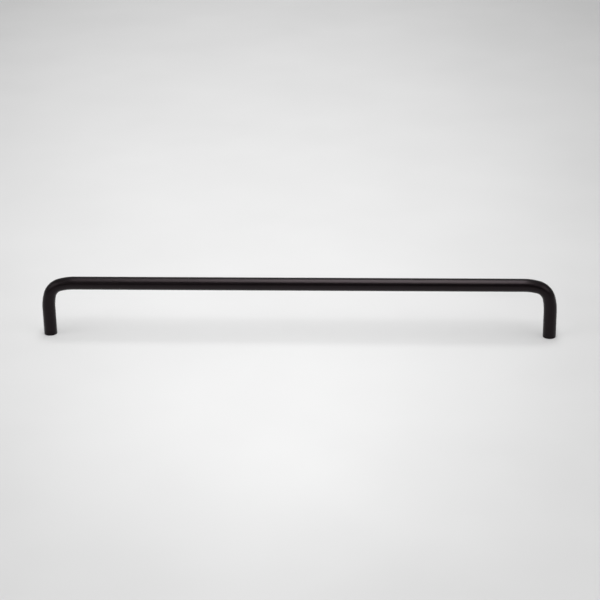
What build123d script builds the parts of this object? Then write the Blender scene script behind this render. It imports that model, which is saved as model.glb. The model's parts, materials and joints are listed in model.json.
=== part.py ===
from build123d import *
import os
from math import cos, pi, radians, sin, tan

# Wire cabinet pull: a solid round bar, bent down at both ends, that two screws hold from behind.
# The mounting plane is Z = 0, the grip runs along X, and fingers reach under it along Y.
# The origin lies on the mounting plane, midway between the two screw holes.

# Driving dimensions, in millimetres and degrees
screw_spacing = 304.8  # centre to centre of the screw holes
wire_diameter = 7.94  # round section of the legs and the grip
projection = 37.5  # mounting plane to the top of the grip
bend_radius = 9.5  # centreline of the tight middle of a bend
run_radius = 33.5  # centreline of the easy run at each end of a bend
run_angle = 15.0  # share of the right angle that each run turns
bend_thinning = 0.40  # depth lost at the middle of a bend, in its plane
bend_widening = 0.16  # width gained there, across that plane
bend_sections = 7  # sections that carry the flattening along a bend
foot_edge_break = 0.20  # bevel round the cut end of a leg
tap_drill_diameter = 3.454  # wall of the screw hole, the crest of its thread
tapped_depth = 12.7  # foot to the end of that wall
mouth_diameter = 4.5  # countersink that leads the screw in
mouth_angle = 90.0
drill_point_angle = 118.0  # cone that the drill leaves at the end of the hole

# Sizes worked out from them
wire_radius = wire_diameter / 2
half_spacing = screw_spacing / 2
hole_radius = tap_drill_diameter / 2
drill_point_height = hole_radius / tan(radians(drill_point_angle / 2))
run_sine = sin(radians(run_angle))
run_cosine = cos(radians(run_angle))
bend_reach = run_radius * (1 + run_sine - run_cosine) + bend_radius * (run_cosine - run_sine)
leg_straight = projection - wire_radius - bend_reach
grip_half_straight = half_spacing - bend_reach

os.makedirs("parts", exist_ok=True)

with BuildPart() as wire_pull:
    # Straight part of the left leg, standing on the mounting plane
    with BuildSketch(Plane.XY):
        with Locations((-half_spacing, 0)):
            Circle(wire_radius)
    extrude(amount=leg_straight)

    # Bend: a tight arc between two easy runs, together a right angle
    with BuildLine(Plane.XZ) as bend:
        run_in = JernArc((-half_spacing, leg_straight), (0, 1), run_radius, -run_angle)
        tight = JernArc(run_in @ 1, run_in % 1, bend_radius, 2 * run_angle - 90)
        JernArc(tight @ 1, tight % 1, run_radius, -run_angle)
    centreline = bend.wires()[0]

    # The wire is round at both ends of the bend and flattest midway, where it was drawn round the former
    for station in range(bend_sections):
        share = station / (bend_sections - 1)
        flattening = sin(pi * share) ** 2
        half_width = wire_radius + flattening * bend_widening / 2
        half_depth = wire_radius - flattening * bend_thinning / 2
        with BuildSketch(Plane(centreline @ share, x_dir=(0, 1, 0), z_dir=centreline % share)):
            Ellipse(half_width, half_depth)
    sweep(multisection=True)

    # Left half of the grip
    with BuildSketch(Plane(centreline @ 1, z_dir=centreline % 1)):
        Circle(wire_radius)
    extrude(amount=grip_half_straight)

    # Foot: the cut end's edge is broken, and a hole is drilled and countersunk for the screw thread
    foot = wire_pull.faces().sort_by(Axis.Z)[0]
    chamfer(foot.edges(), length=foot_edge_break)
    foot = wire_pull.faces().sort_by(Axis.Z)[0]
    with Locations(foot):
        CounterSinkHole(hole_radius, mouth_diameter / 2, tapped_depth, mouth_angle)
        with Locations((0, 0, -tapped_depth - drill_point_height)):
            Cone(
                bottom_radius=0,
                top_radius=hole_radius,
                height=drill_point_height,
                align=(Align.CENTER, Align.CENTER, Align.MIN),
                mode=Mode.SUBTRACT,
            )

    # The right half is the left one mirrored at the middle of the grip
    mirror(about=Plane.YZ)

wire_pull.part.label = "wire_pull"
export_step(wire_pull.part, "parts/wire_pull.step")
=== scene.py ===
"""Looks of a wire cabinet pull: one bent bar, powder coated black, on a pale board in soft studio light.

Everything is in metres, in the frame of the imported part: the mounting plane is Z = 0, the grip runs along X,
and the origin lies midway between the two screw holes.
"""

import json
import logging
import math
from collections.abc import Sequence
from dataclasses import dataclass, field
from enum import Enum, IntEnum
from typing import Any

import bpy
import numpy as np
from mathutils import Matrix, Vector


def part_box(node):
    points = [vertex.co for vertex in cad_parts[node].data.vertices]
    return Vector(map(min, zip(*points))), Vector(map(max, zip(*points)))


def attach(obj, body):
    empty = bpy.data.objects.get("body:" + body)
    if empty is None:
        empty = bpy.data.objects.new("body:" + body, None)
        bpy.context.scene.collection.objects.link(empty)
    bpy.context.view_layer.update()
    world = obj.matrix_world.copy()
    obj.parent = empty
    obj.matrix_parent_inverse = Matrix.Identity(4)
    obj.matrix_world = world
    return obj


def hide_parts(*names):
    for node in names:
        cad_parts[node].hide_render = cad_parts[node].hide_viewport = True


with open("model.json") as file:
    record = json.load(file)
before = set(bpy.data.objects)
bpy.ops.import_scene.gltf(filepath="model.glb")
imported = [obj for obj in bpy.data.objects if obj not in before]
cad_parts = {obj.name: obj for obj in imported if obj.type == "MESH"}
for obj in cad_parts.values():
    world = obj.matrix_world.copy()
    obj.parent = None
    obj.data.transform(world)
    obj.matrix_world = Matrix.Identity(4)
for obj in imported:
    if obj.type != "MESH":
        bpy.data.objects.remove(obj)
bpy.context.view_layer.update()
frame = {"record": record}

MM = 0.001
MICRON = 0.001 * MM
INCH = 25.4 * MM
BEVEL = math.radians(45.0)  # slope of the countersink in a foot and of the broken edge round it
NOISE_LOW = 0.3  # level of the noise in its dark blotches
NOISE_HIGH = 0.7  # level of the noise in its bright blotches
Colour = tuple[float, float, float]
Place = tuple[float, float, float]
LOG = logging.getLogger("wire_pull")


class Side(Enum):
    """The two feet of the pull, by the sign of X."""

    LEFT = -1
    RIGHT = 1


class Zone(IntEnum):
    """What covers a face of the bar, and its material slot there."""

    COAT = 0
    BARE_STEEL = 1


class Aim(Enum):
    """Where a lamp faces."""

    DOWN = "down"
    AT_PULL = "at the pull"


class ShaderTree:
    """The node tree of a material or of the room, with short ways to fill it."""

    def __init__(self, owner: bpy.types.Material | bpy.types.World) -> None:
        """Opens the node tree of a material or a world."""
        owner.use_nodes = True
        self.tree = owner.node_tree

    def feed(self, socket: bpy.types.NodeSocket, value: Any) -> None:
        """Links a socket to another one, or sets its own value.

        Args:
            socket: the input to fill.
            value: an output socket, a number or a colour.
        """
        if isinstance(value, bpy.types.NodeSocket):
            self.tree.links.new(value, socket)
        else:
            socket.default_value = value

    def fill(self, node: bpy.types.Node, inputs: dict[str, Any]) -> None:
        """Feeds the inputs of a node by their names, which have underscores for spaces."""
        for name, value in inputs.items():
            self.feed(node.inputs[name.replace("_", " ")], value)

    def node(self, kind: str, **inputs: Any) -> bpy.types.Node:
        """Adds a node and feeds its inputs.

        Args:
            kind: Blender's name for the node type.
            **inputs: an input's name, with underscores for spaces, and its value or the socket that feeds it.

        Returns:
            The new node.
        """
        made = self.tree.nodes.new(kind)
        self.fill(made, inputs)
        return made

    def calculate(self, operation: str, first: Any, second: Any) -> bpy.types.NodeSocket:
        """Works out one number from two.

        Args:
            operation: Blender's name for the sum.
            first: a socket or a number.
            second: a socket or a number.

        Returns:
            The result.
        """
        made = self.node("ShaderNodeMath")
        made.operation = operation
        self.feed(made.inputs[0], first)
        self.feed(made.inputs[1], second)
        return made.outputs["Value"]

    def distance(self, place: bpy.types.NodeSocket) -> bpy.types.NodeSocket:
        """How far a place is from the origin.

        Args:
            place: where the surface is.

        Returns:
            The distance.
        """
        made = self.node("ShaderNodeVectorMath")
        made.operation = "LENGTH"
        self.feed(made.inputs[0], place)
        return made.outputs["Value"]

    def carry(
        self,
        value: bpy.types.NodeSocket,
        start: float,
        end: float,
        first: Any,
        last: Any,
        smooth: bool = False,
    ) -> bpy.types.NodeSocket:
        """Goes from one level to another while a value goes from its start to its end.

        Args:
            value: what it follows.
            start: the value up to which the first level holds.
            end: the value from which the last level holds.
            first: the first level, a socket or a number.
            last: the last level, a socket or a number.
            smooth: whether it sets out and arrives without a kink.

        Returns:
            The level.
        """
        made = self.node("ShaderNodeMapRange", Value=value, From_Min=start, From_Max=end)
        self.fill(made, {"To_Min": first, "To_Max": last})
        made.interpolation_type = "SMOOTHSTEP" if smooth else "LINEAR"
        return made.outputs["Result"]


class Finish(ShaderTree):
    """One new material: a principled shader, and noise in object space to vary it."""

    def __init__(self, name: str) -> None:
        """Starts the material.

        Args:
            name: the material's name.
        """
        self.material = bpy.data.materials.new(name)
        super().__init__(self.material)
        self.shader = self.tree.nodes["Principled BSDF"]
        self.place = self.node("ShaderNodeTexCoord").outputs["Object"]

    def noise(self, grain: float, detail: float = 2.0) -> bpy.types.NodeSocket:
        """Even noise with blotches of one grain and some finer layers of detail."""
        made = self.node("ShaderNodeTexNoise", Vector=self.place, Scale=1.0 / grain, Detail=detail)
        return made.outputs["Fac"]

    def spread(self, noise: bpy.types.NodeSocket, low: float, high: float) -> bpy.types.NodeSocket:
        """Carries noise over to a range, low in its dark blotches and high in its bright ones."""
        return self.carry(noise, NOISE_LOW, NOISE_HIGH, low, high)

    def tone(self, noise: bpy.types.NodeSocket, dark: Colour, light: Colour) -> bpy.types.NodeSocket:
        """Carries noise over to a colour between two.

        Args:
            noise: the noise.
            dark: colour of its dark blotches.
            light: colour of its bright blotches.

        Returns:
            The colour.
        """
        ramp = self.node("ShaderNodeValToRGB", Fac=noise)
        for stop, position, colour in zip(ramp.color_ramp.elements, (NOISE_LOW, NOISE_HIGH), (dark, light)):
            stop.position = position
            stop.color = (*colour, 1.0)
        return ramp.outputs["Color"]

    def bump(self, height: bpy.types.NodeSocket, depth: float, under: Any = None) -> bpy.types.NodeSocket:
        """Roughens the surface by a height.

        Args:
            height: the height, from 0 to 1.
            depth: what a height of 1 stands for.
            under: a bump that this one lies on, if any.

        Returns:
            The roughened normal.
        """
        made = self.node("ShaderNodeBump", Height=height, Distance=depth)
        if under is not None:
            self.feed(made.inputs["Normal"], under)
        return made.outputs["Normal"]

    def dress(self, **inputs: Any) -> bpy.types.Material:
        """Feeds the principled shader by its inputs' names and gives the finished material."""
        self.fill(self.shader, inputs)
        return self.material


@dataclass(frozen=True)
class PowderCoat:
    """Matte black powder coat: flowed out almost smooth, with a fine even grain."""

    dark: Colour = (0.0009, 0.0002, 0.0004)
    light: Colour = (0.0021, 0.0008, 0.0012)
    blotch: float = 6.0 * MM
    smoothest: float = 0.285
    roughest: float = 0.385
    gloss: float = 0.229
    gloss_tint: Colour = (1.0, 0.83, 0.89)
    flow_size: float = 1.8 * MM
    flow_depth: float = 34.0 * MICRON
    grain_size: float = 0.24 * MM
    grain_depth: float = 11.0 * MICRON

    def material(self) -> bpy.types.Material:
        """Builds the finish.

        Returns:
            A material whose black, gloss and relief vary as a sprayed and baked powder's do.
        """
        finish = Finish("black_powder_coat")
        grain = finish.noise(self.grain_size)
        flow = finish.bump(finish.noise(self.flow_size, detail=1.0), self.flow_depth)
        return finish.dress(
            Base_Color=finish.tone(finish.noise(self.blotch), self.dark, self.light),
            Roughness=finish.spread(grain, self.smoothest, self.roughest),
            Normal=finish.bump(grain, self.grain_depth, flow),
            Specular_IOR_Level=self.gloss,
            Specular_Tint=(*self.gloss_tint, 1.0),
        )


@dataclass(frozen=True)
class TappedSteel:
    """Bare mild steel that a drill and a tap have cut, with a trace of oil in it."""

    dark: Colour = (0.30, 0.29, 0.275)
    light: Colour = (0.50, 0.49, 0.475)
    blotch: float = 0.9 * MM
    smoothest: float = 0.26
    roughest: float = 0.42
    tear_size: float = 0.09 * MM
    tear_depth: float = 6.0 * MICRON

    def material(self) -> bpy.types.Material:
        """Builds the finish.

        Returns:
            A metal whose brightness and gloss vary with the cutting.
        """
        finish = Finish("tapped_steel")
        blotches = finish.noise(self.blotch, detail=4.0)
        return finish.dress(
            Metallic=1.0,
            Base_Color=finish.tone(blotches, self.dark, self.light),
            Roughness=finish.spread(blotches, self.roughest, self.smoothest),
            Normal=finish.bump(finish.noise(self.tear_size), self.tear_depth),
        )


@dataclass(frozen=True)
class PaleBoard:
    """Matte pale board that the pull stands on, with a painted pool of light that is palest near the pull."""

    dark: Colour = (0.545, 0.545, 0.545)
    light: Colour = (0.567, 0.567, 0.567)
    cloud: float = 90.0 * MM
    roughness: float = 0.9
    gloss: float = 0.1
    glow: float = 0.23  # painted glow, of a full white, at its middle
    glow_middle: Place = (-0.008, -0.122, 0.0)
    glow_reach: Place = (0.233, 0.482, 1.0)
    glow_turn: float = math.radians(5.7)  # of the oval's long axis, from +Y towards -X
    glow_lean: float = 0.8  # eccentricity of the oval, in shares of its reach
    fade_start: float = 0.8  # distance from the origin at which the board begins to melt into the room
    fade_end: float = 2.0

    def material(self) -> bpy.types.Material:
        """Builds the finish.

        Returns:
            A matte grey with faint clouds and a painted glow of light, which melts into the room far out.
        """
        finish = Finish("pale_board")
        self.melt(finish)
        return finish.dress(
            Base_Color=finish.tone(finish.noise(self.cloud), self.dark, self.light),
            Roughness=self.roughness,
            Specular_IOR_Level=self.gloss,
            # painted pool of light round the pull, seen by the camera and in reflections only
            Emission_Strength=self.painted_glow(finish),
        )

    def painted_glow(self, finish: Finish) -> bpy.types.NodeSocket:
        """Works out the painted glow, a pool of light which the camera and reflections see, but which lights
        nothing.

        It falls off with the distance from its middle, in shares of its reach, less its lean times the share
        along its long axis. Its contours are ellipses with one focus at the middle, so they reach further
        behind the pull than before it.

        Args:
            finish: the board's material.

        Returns:
            The strength of the glow.
        """
        ray = finish.node("ShaderNodeLightPath").outputs
        mirrored = finish.calculate("MAXIMUM", ray["Is Glossy Ray"], ray["Is Transmission Ray"])
        seen = finish.calculate("MAXIMUM", ray["Is Camera Ray"], mirrored)
        oval = finish.node("ShaderNodeMapping", Vector=finish.place, Location=self.glow_middle)
        finish.fill(oval, {"Rotation": (0.0, 0.0, self.glow_turn), "Scale": self.glow_reach})
        oval.vector_type = "TEXTURE"
        share = oval.outputs["Vector"]
        along = finish.node("ShaderNodeSeparateXYZ", Vector=share).outputs["Y"]
        lean = finish.calculate("MULTIPLY", along, self.glow_lean)
        out = finish.calculate("SUBTRACT", finish.distance(share), lean)
        # painted pool of light: strongest at the oval's middle, gone at its edge
        glow = finish.carry(out, 0.0, 1.0, self.glow, 0.0, smooth=True)
        return finish.calculate("MULTIPLY", seen, glow)

    def melt(self, finish: Finish) -> None:
        """Lets the board turn clear far out, so that no edge shows.

        Args:
            finish: the board's material.
        """
        out = finish.distance(finish.place)
        fade = finish.carry(out, self.fade_start, self.fade_end, 0.0, 1.0, smooth=True)
        mixed = finish.node("ShaderNodeMixShader", Fac=fade)
        finish.feed(mixed.inputs[1], finish.shader.outputs["BSDF"])
        finish.feed(mixed.inputs[2], finish.node("ShaderNodeBsdfTransparent").outputs["BSDF"])
        finish.fill(finish.tree.nodes["Material Output"], {"Surface": mixed.outputs["Shader"]})


@dataclass(frozen=True)
class Run:
    """One stretch of a line in a plane: straight, or an arc that turns evenly."""

    length: float
    turn: float = 0.0  # positive towards the plane's first axis
    steps: int = 1

    @classmethod
    def arc(cls, radius: float, turn: float, steps: int) -> "Run":
        """An arc given by its radius, in so many chords."""
        return cls(radius * abs(turn), turn, steps)


def trace(start: tuple[float, float], heading: float, runs: Sequence[Run]) -> tuple[np.ndarray, np.ndarray]:
    """Points along a chain of straights and arcs.

    A heading is the angle from the plane's second axis towards its first. A step of length s, along which the
    heading goes from a to b, is the exact chord of its arc: s times the sine of half the turn over half the
    turn, in the direction midway between a and b. The points are the running sums of those chords.

    Args:
        start: the first point.
        heading: the direction there.
        runs: the stretches in order.

    Returns:
        The points, start included, and the heading at each.
    """
    lengths = np.concatenate([np.full(run.steps, run.length / run.steps) for run in runs])
    turns = np.concatenate([np.full(run.steps, run.turn / run.steps) for run in runs])
    headings = heading + np.concatenate([[0.0], np.cumsum(turns)])
    middle = (headings[:-1] + headings[1:]) / 2
    chords = lengths * np.sinc(turns / 2 / np.pi)
    steps = chords[:, None] * np.stack([np.sin(middle), np.cos(middle)], axis=1)
    return np.concatenate([np.zeros((1, 2)), np.cumsum(steps, axis=0)]) + start, headings


@dataclass(frozen=True)
class Thread:
    """The screw thread in a foot: a number 8 machine screw's, 32 turns to the inch."""

    pitch: float = INCH / 32
    cut: float = 0.356 * MM  # from the hole's wall, which is the crest, out to the root
    crest_share: float = 0.358  # of one pitch
    root_share: float = 0.125
    runout_turns: float = 2.5  # where the tap's tapered nose cut less and less
    rings_per_turn: int = 14

    def depth(self, height: np.ndarray, angle: np.ndarray, end: float) -> np.ndarray:
        """How far the thread is cut outwards from the wall.

        The place within a turn is the fraction left of height over pitch less angle over a full circle, which
        climbs as a right-hand helix. A triangle wave of it, clipped at the shares of crest and root, is the
        60 degree thread form. The form shrinks evenly to nothing over the runout below the end of the hole.

        Args:
            height: height of each point above the mounting plane.
            angle: angle of each point round the hole, from +X towards +Y.
            end: height at which the thread ends.

        Returns:
            The depth at each point.
        """
        place = np.mod(height / self.pitch - angle / (2 * np.pi), 1.0)
        wave = np.abs(2 * place - 1)
        form = np.clip((wave - self.crest_share) / (1 - self.root_share - self.crest_share), 0.0, 1.0)
        return self.cut * form * np.clip((end - height) / (self.runout_turns * self.pitch), 0.0, 1.0)


@dataclass(frozen=True)
class Ring:
    """A stack of cross-sections of the bar, each an ellipse about its own centre.

    The first index of every array counts the sections. The half sizes have a second index round the section
    where a thread makes it uneven.
    """

    centre: np.ndarray  # X and Z
    tilt: np.ndarray  # angle from +Z towards +X of the bar's line
    half_depth: np.ndarray  # in the plane of the bend
    half_width: np.ndarray  # along Y

    def points(self, around: np.ndarray) -> np.ndarray:
        """Places the sections in space.

        A point at angle u lies off the centre by half the depth times cos u along the normal in the plane of
        the bend, which is (cos tilt, 0, -sin tilt), and by half the width times sin u along Y.

        Args:
            around: the angles u.

        Returns:
            The points, by section and by angle.
        """
        in_plane = np.broadcast_to(self.half_depth, (len(self.tilt), len(around))) * np.cos(around)
        across = np.broadcast_to(self.half_width, (len(self.tilt), len(around))) * np.sin(around)
        x = self.centre[:, :1] + in_plane * np.cos(self.tilt)[:, None]
        z = self.centre[:, 1:] - in_plane * np.sin(self.tilt)[:, None]
        return np.stack([x, across, z], axis=2)


@dataclass(frozen=True)
class WirePull:
    """The whole pull: a round bar with two bends, and a tapped hole in each of its cut ends."""

    half_spacing: float
    wire_radius: float
    projection: float
    hole_radius: float
    bend_radius: float = 9.5 * MM
    run_radius: float = 33.5 * MM
    run_angle: float = math.radians(15.0)
    bend_thinning: float = 0.40 * MM
    bend_widening: float = 0.16 * MM
    edge_break: float = 0.20 * MM
    edge_softness: float = 0.09 * MM
    mouth_radius: float = 2.25 * MM
    tapped_depth: float = 12.7 * MM
    point_angle: float = math.radians(118.0)
    thread: Thread = field(default_factory=Thread)
    around: int = 96
    cone_rings: int = 6
    corner_steps: int = 5
    flat_steps: int = 8
    bevel_steps: int = 3
    leg_steps: int = 12
    run_steps: int = 22
    bend_steps: int = 30
    grip_steps: int = 32

    @classmethod
    def from_frame(cls, node: str, mount: str) -> "WirePull":
        """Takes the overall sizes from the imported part.

        Args:
            node: the part's node.
            mount: the part's bolt pattern.

        Returns:
            The pull at the part's size.
        """
        holes = next(entry["dims"] for entry in frame["record"]["mounts"] if entry["name"] == mount)
        half_spacing = holes["spacing_x_mm"] * MM / 2
        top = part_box(node)[1]
        return cls(half_spacing, top[0] - half_spacing, top[2], holes["hole_r_mm"] * MM)

    @property
    def angles(self) -> np.ndarray:
        """The angles round every section."""
        return np.arange(self.around) * (2 * np.pi / self.around)

    @property
    def point_height(self) -> float:
        """Height of the cone that the drill's point leaves."""
        return self.hole_radius / math.tan(self.point_angle / 2)

    @property
    def corner_cut(self) -> float:
        """What the rounding takes from each side of a corner that turns by the bevel's slope."""
        return self.edge_softness * math.tan(BEVEL / 2)

    @property
    def lip_start(self) -> tuple[float, float]:
        """Radius and height at which the countersink starts to round over into the foot."""
        drop = self.corner_cut * math.sin(BEVEL)
        return self.mouth_radius - drop, drop

    def upright(self, radius: np.ndarray, height: np.ndarray) -> Ring:
        """Sections about the left leg's axis.

        Args:
            radius: the radius of each section, or of each of its points.
            height: the height of each section.

        Returns:
            The sections.
        """
        centre = np.stack([np.full(len(height), -self.half_spacing), height], axis=1)
        radius = radius.reshape(len(height), -1)
        return Ring(centre, np.zeros(len(height)), radius, radius)

    def hole(self, side: Side) -> Ring:
        """The screw hole, from the drill's point out to its mouth.

        The cone narrows evenly to the tip. The wall's radius is that of the hole plus the depth of the
        thread, or that of the countersink, which widens by as much as it comes down, whichever is more.

        Args:
            side: the foot whose thread it is, because a mirrored thread would turn the wrong way.

        Returns:
            Its sections.
        """
        cone_share = np.linspace(0.0, 1.0, self.cone_rings + 2)[1:-1]
        cone = self.tapped_depth + self.point_height * (1 - cone_share)
        turns = self.tapped_depth / self.thread.pitch
        wall = np.linspace(self.tapped_depth, self.lip_start[1], round(turns * self.thread.rings_per_turn))
        angle = self.angles if side is Side.LEFT else np.pi - self.angles
        threaded = self.hole_radius + self.thread.depth(wall[:, None], angle[None, :], self.tapped_depth)
        wall_radius = np.maximum(threaded, self.mouth_radius - wall[:, None])
        cone_radius = np.broadcast_to((self.hole_radius * cone_share)[:, None], (len(cone), self.around))
        return self.upright(np.concatenate([cone_radius, wall_radius]), np.concatenate([cone, wall]))

    def lip(self) -> Ring:
        """The foot's ring, from the countersink round the broken edge to the leg.

        The outline is the flat of the foot and the bevel, with a small arc at each of the three corners.

        Returns:
            Its sections.
        """
        corner = Run.arc(self.edge_softness, -BEVEL, self.corner_steps)
        flat = self.wire_radius - self.edge_break - self.mouth_radius - 2 * self.corner_cut
        bevel = self.edge_break / math.sin(BEVEL) - 2 * self.corner_cut
        runs = [corner, Run(flat, steps=self.flat_steps), corner, Run(bevel, steps=self.bevel_steps), corner]
        outline = trace(self.lip_start, math.pi - BEVEL, runs)[0][1:]
        return self.upright(outline[:, 0], outline[:, 1])

    def half_bar(self) -> Ring:
        """The bar from the left foot to the middle of the grip.

        Its line is straight up the leg, then an easy run, a tight arc and an easy run, then straight along
        the grip. Midway round the bend the section is flattened, by the squared sine of pi times the share of
        the bend's length, as it is when the bar is drawn round its former.

        Returns:
            Its sections.
        """
        sine, cosine = math.sin(self.run_angle), math.cos(self.run_angle)
        reach = self.run_radius * (1 + sine - cosine) + self.bend_radius * (cosine - sine)
        foot = self.edge_break + self.corner_cut
        collar = self.edge_break
        leg = self.projection - self.wire_radius - reach - foot - collar
        easy = Run.arc(self.run_radius, self.run_angle, self.run_steps)
        tight = Run.arc(self.bend_radius, math.pi / 2 - 2 * self.run_angle, self.bend_steps)
        upright = [Run(collar), Run(leg, steps=self.leg_steps)]
        bend = [easy, tight, easy]
        grip = Run(self.half_spacing - reach, steps=self.grip_steps)
        centre, tilt = trace((-self.half_spacing, foot), 0.0, [*upright, *bend, grip])
        along = np.concatenate([[0.0], np.cumsum(np.hypot(*np.diff(centre, axis=0).T))])
        bend_start = along[sum(run.steps for run in upright)]
        share = np.clip((along - bend_start) / sum(run.length for run in bend), 0.0, 1.0)
        flattening = np.sin(np.pi * share) ** 2
        half_depth = self.wire_radius - flattening * self.bend_thinning / 2
        half_width = self.wire_radius + flattening * self.bend_widening / 2
        return Ring(centre[1:], tilt[1:], half_depth[1:, None], half_width[1:, None])

    def half(self, side: Side) -> tuple[np.ndarray, np.ndarray]:
        """One half of the pull, from the tip of its drilled hole to the middle of the grip.

        Args:
            side: which half. The right one is the left one with X turned round, apart from its thread.

        Returns:
            The points by section and angle, and the zone of each section.
        """
        hole = self.hole(side)
        stacks = [hole, self.lip(), self.half_bar()]
        points = np.concatenate([stack.points(self.angles) for stack in stacks])
        points[:, :, 0] *= -side.value
        countersunk = self.mouth_radius - self.hole_radius
        bare = np.zeros(len(points), bool)
        bare[: len(hole.tilt)] = hole.centre[:, 1] > countersunk
        return points, np.where(bare, Zone.BARE_STEEL, Zone.COAT)

    def build(self, name: str, finishes: dict[Zone, bpy.types.Material]) -> bpy.types.Object:
        """Makes the pull as one closed mesh.

        The sections of the left half and those of the right half, in reverse order, make one tube, each quad
        between two neighbours on a section and the same two on the next. A fan round the tip of each drilled
        hole closes it.

        Args:
            name: the new object's name.
            finishes: the material of each zone.

        Returns:
            The new object.
        """
        left, left_zones = self.half(Side.LEFT)
        right, right_zones = self.half(Side.RIGHT)
        sections = np.concatenate([left, right[-2::-1]])
        zones = np.concatenate([left_zones[:-1], right_zones[-2::-1]])
        tip = self.tapped_depth + self.point_height
        tips = [[-self.half_spacing, 0.0, tip], [self.half_spacing, 0.0, tip]]
        points = np.concatenate([sections.reshape(-1, 3), tips])
        number = np.arange(len(sections) * self.around).reshape(len(sections), self.around)
        after = np.roll(number, -1, axis=1)
        quads = np.stack([number[:-1], after[:-1], after[1:], number[1:]], axis=2).reshape(-1, 4)
        left_fan = np.stack([np.full(self.around, len(points) - 2), after[0], number[0]], axis=1)
        right_fan = np.stack([number[-1], after[-1], np.full(self.around, len(points) - 1)], axis=1)
        mesh = bpy.data.meshes.new(name)
        mesh.from_pydata(points.tolist(), [], quads.tolist() + left_fan.tolist() + right_fan.tolist())
        for zone in sorted(finishes):
            mesh.materials.append(finishes[zone])
        face_zones = np.full(len(mesh.polygons), Zone.BARE_STEEL, np.int32)
        face_zones[: len(quads)] = np.repeat(zones, self.around)
        mesh.polygons.foreach_set("material_index", face_zones)
        mesh.shade_smooth()
        mesh.update()
        made = bpy.data.objects.new(name, mesh)
        bpy.context.collection.objects.link(made)
        return made


@dataclass(frozen=True)
class SoftLamp:
    """One flat, even source of light: a softbox, a panel or a white card."""

    name: str
    width: float
    length: float
    place: Place
    power: float  # in watts
    aim: Aim = Aim.AT_PULL

    def hang(self) -> bpy.types.Object:
        """Hangs the lamp in its place and turns it to where it faces.

        It shines along its own -Z, so its +Z is turned away from the pull.

        Returns:
            The lamp.
        """
        lamp = bpy.data.lights.new(self.name, "AREA")
        lamp.shape = "RECTANGLE"
        lamp.size = self.width
        lamp.size_y = self.length
        lamp.energy = self.power
        made = bpy.data.objects.new(self.name, lamp)
        made.location = self.place
        if self.aim is Aim.AT_PULL:
            made.rotation_euler = Vector(self.place).to_track_quat("Z", "Y").to_euler()
        bpy.context.collection.objects.link(made)
        return made


@dataclass(frozen=True)
class Studio:
    """A pale board, a softbox overhead, a dim panel at each side, a white card and a grey room."""

    lamps: tuple[SoftLamp, ...] = (
        SoftLamp("softbox", 0.58, 2.03, (0.03, -0.27, 1.8), 30.2, Aim.DOWN),
        SoftLamp("left_panel", 1.8, 1.4, (-1.75, -0.9, 1.25), 12.2),
        SoftLamp("right_panel", 1.8, 1.4, (1.75, -0.9, 1.25), 11.7),
        SoftLamp("fill_card", 0.28, 0.28, (-0.42, -1.38, 0.68), 0.5),
    )
    board_size: float = 16.0
    board_cells: int = 8
    room_front: float = 0.027
    room_back: float = 0.45
    ground: float = 0.56
    horizon_blur: float = 0.02

    def lay_board(self, finish: bpy.types.Material) -> bpy.types.Object:
        """Lays the board at the height of the mounting plane.

        It is a flat grid: a point is half the board's size times each of two shares from -1 to 1.

        Args:
            finish: the board's material.

        Returns:
            The board.
        """
        share = np.linspace(-1.0, 1.0, self.board_cells + 1)
        x, y = np.meshgrid(share, share)
        points = np.stack([x, y, np.zeros_like(x)], axis=2).reshape(-1, 3) * self.board_size / 2
        number = np.arange(x.size).reshape(x.shape)
        quads = np.stack([number[:-1, :-1], number[:-1, 1:], number[1:, 1:], number[1:, :-1]], axis=2)
        mesh = bpy.data.meshes.new("board")
        mesh.from_pydata(points.tolist(), [], quads.reshape(-1, 4).tolist())
        mesh.materials.append(finish)
        board = bpy.data.objects.new("board", mesh)
        bpy.context.collection.objects.link(board)
        return board

    def light_room(self) -> bpy.types.World:
        """Gives the room its grey above a pale ground.

        The grey goes evenly from its front level to its back level as the direction's share along Y goes from
        -1 to 1. Below the horizon it gives way to the ground's level.

        Returns:
            The room, made the scene's own world.
        """
        world = bpy.data.worlds.new("room")
        room = ShaderTree(world)
        direction = room.node("ShaderNodeTexCoord").outputs["Generated"]
        share = room.node("ShaderNodeSeparateXYZ", Vector=direction).outputs
        grey = room.carry(share["Y"], -1.0, 1.0, self.room_front, self.room_back)
        level = room.carry(share["Z"], -self.horizon_blur, self.horizon_blur, self.ground, grey, smooth=True)
        room.fill(room.tree.nodes["Background"], {"Color": level})
        bpy.context.scene.world = world
        return world


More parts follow.
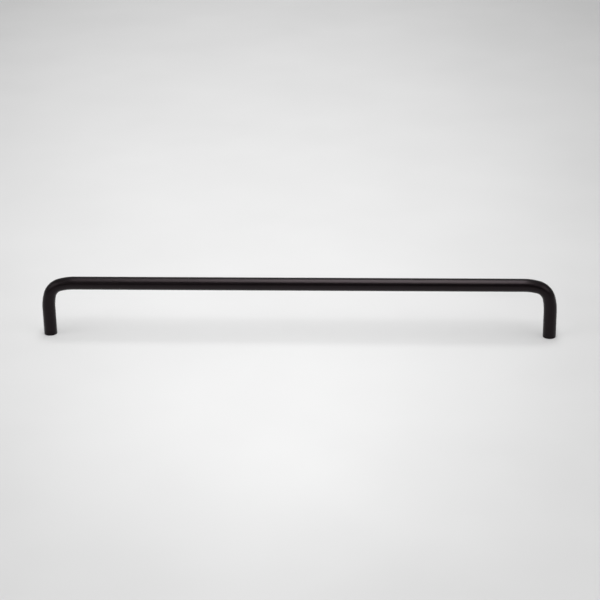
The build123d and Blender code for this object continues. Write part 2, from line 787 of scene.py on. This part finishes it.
@dataclass(frozen=True)
class PhotoCamera:
    """The camera that took the photograph, as its outline of the pull tells."""

    azimuth: float = math.radians(3.524)
    elevation: float = math.radians(23.276)
    roll: float = math.radians(-1.079)
    depth: float = 1147.17 * MM  # of the part's origin, along the line of sight
    lens_mm: float = 112.714
    sensor_mm: float = 36.0
    picture: float = 600.0  # pixels along each side
    origin_pixel: tuple[float, float] = (298.217, 334.802)

    def axes(self) -> np.ndarray:
        """The camera's right, up and backward directions as rows.

        Backward points from the part to the camera. Right is level before the roll turns it towards up.

        Returns:
            The three directions.
        """
        level = math.cos(self.elevation)
        east, south = math.sin(self.azimuth) * level, math.cos(self.azimuth) * level
        back = np.array([east, -south, math.sin(self.elevation)])
        right = np.cross([0.0, 0.0, 1.0], back)
        right /= np.linalg.norm(right)
        up = np.cross(back, right)
        cosine, sine = math.cos(self.roll), math.sin(self.roll)
        return np.stack([right * cosine + up * sine, up * cosine - right * sine, back])

    def place(self) -> bpy.types.Object:
        """Puts the camera where the part's origin falls on its pixel.

        Returns:
            The camera, made the scene's own.
        """
        axes = self.axes()
        metres_per_pixel = self.depth * self.sensor_mm / self.lens_mm / self.picture
        off_right = (self.origin_pixel[0] - self.picture / 2) * metres_per_pixel
        off_up = (self.picture / 2 - self.origin_pixel[1]) * metres_per_pixel
        eye = np.array([-off_right, -off_up, self.depth]) @ axes
        data = bpy.data.cameras.new("photo_camera")
        data.lens = self.lens_mm
        data.sensor_width = self.sensor_mm
        made = bpy.data.objects.new("photo_camera", data)
        made.matrix_world = Matrix.LocRotScale(Vector(eye), Matrix(axes.T.tolist()).to_quaternion(), None)
        bpy.context.collection.objects.link(made)
        bpy.context.scene.camera = made
        return made


def main() -> None:
    """Builds the pull, dresses it and sets up the studio."""
    logging.basicConfig(level=logging.INFO, format="%(name)s: %(message)s")
    bpy.context.scene.view_settings.view_transform = "Standard"

    finishes = {Zone.COAT: PowderCoat().material(), Zone.BARE_STEEL: TappedSteel().material()}
    pull = WirePull.from_frame("wire_pull", "screw_holes").build("coated_wire_pull", finishes)
    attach(pull, "root")
    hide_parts("wire_pull")
    LOG.info("%s: %d faces, %d points", pull.name, len(pull.data.polygons), len(pull.data.vertices))

    studio = Studio()
    board = studio.lay_board(PaleBoard().material())
    LOG.info("%s: %.0f m wide", board.name, studio.board_size)
    for lamp in studio.lamps:
        LOG.info("%s: %.2f by %.2f m", lamp.hang().name, lamp.width, lamp.length)
    LOG.info("%s: lit", studio.light_room().name)
    LOG.info("%s: placed", PhotoCamera().place().name)


if __name__ == "__main__":
    main()
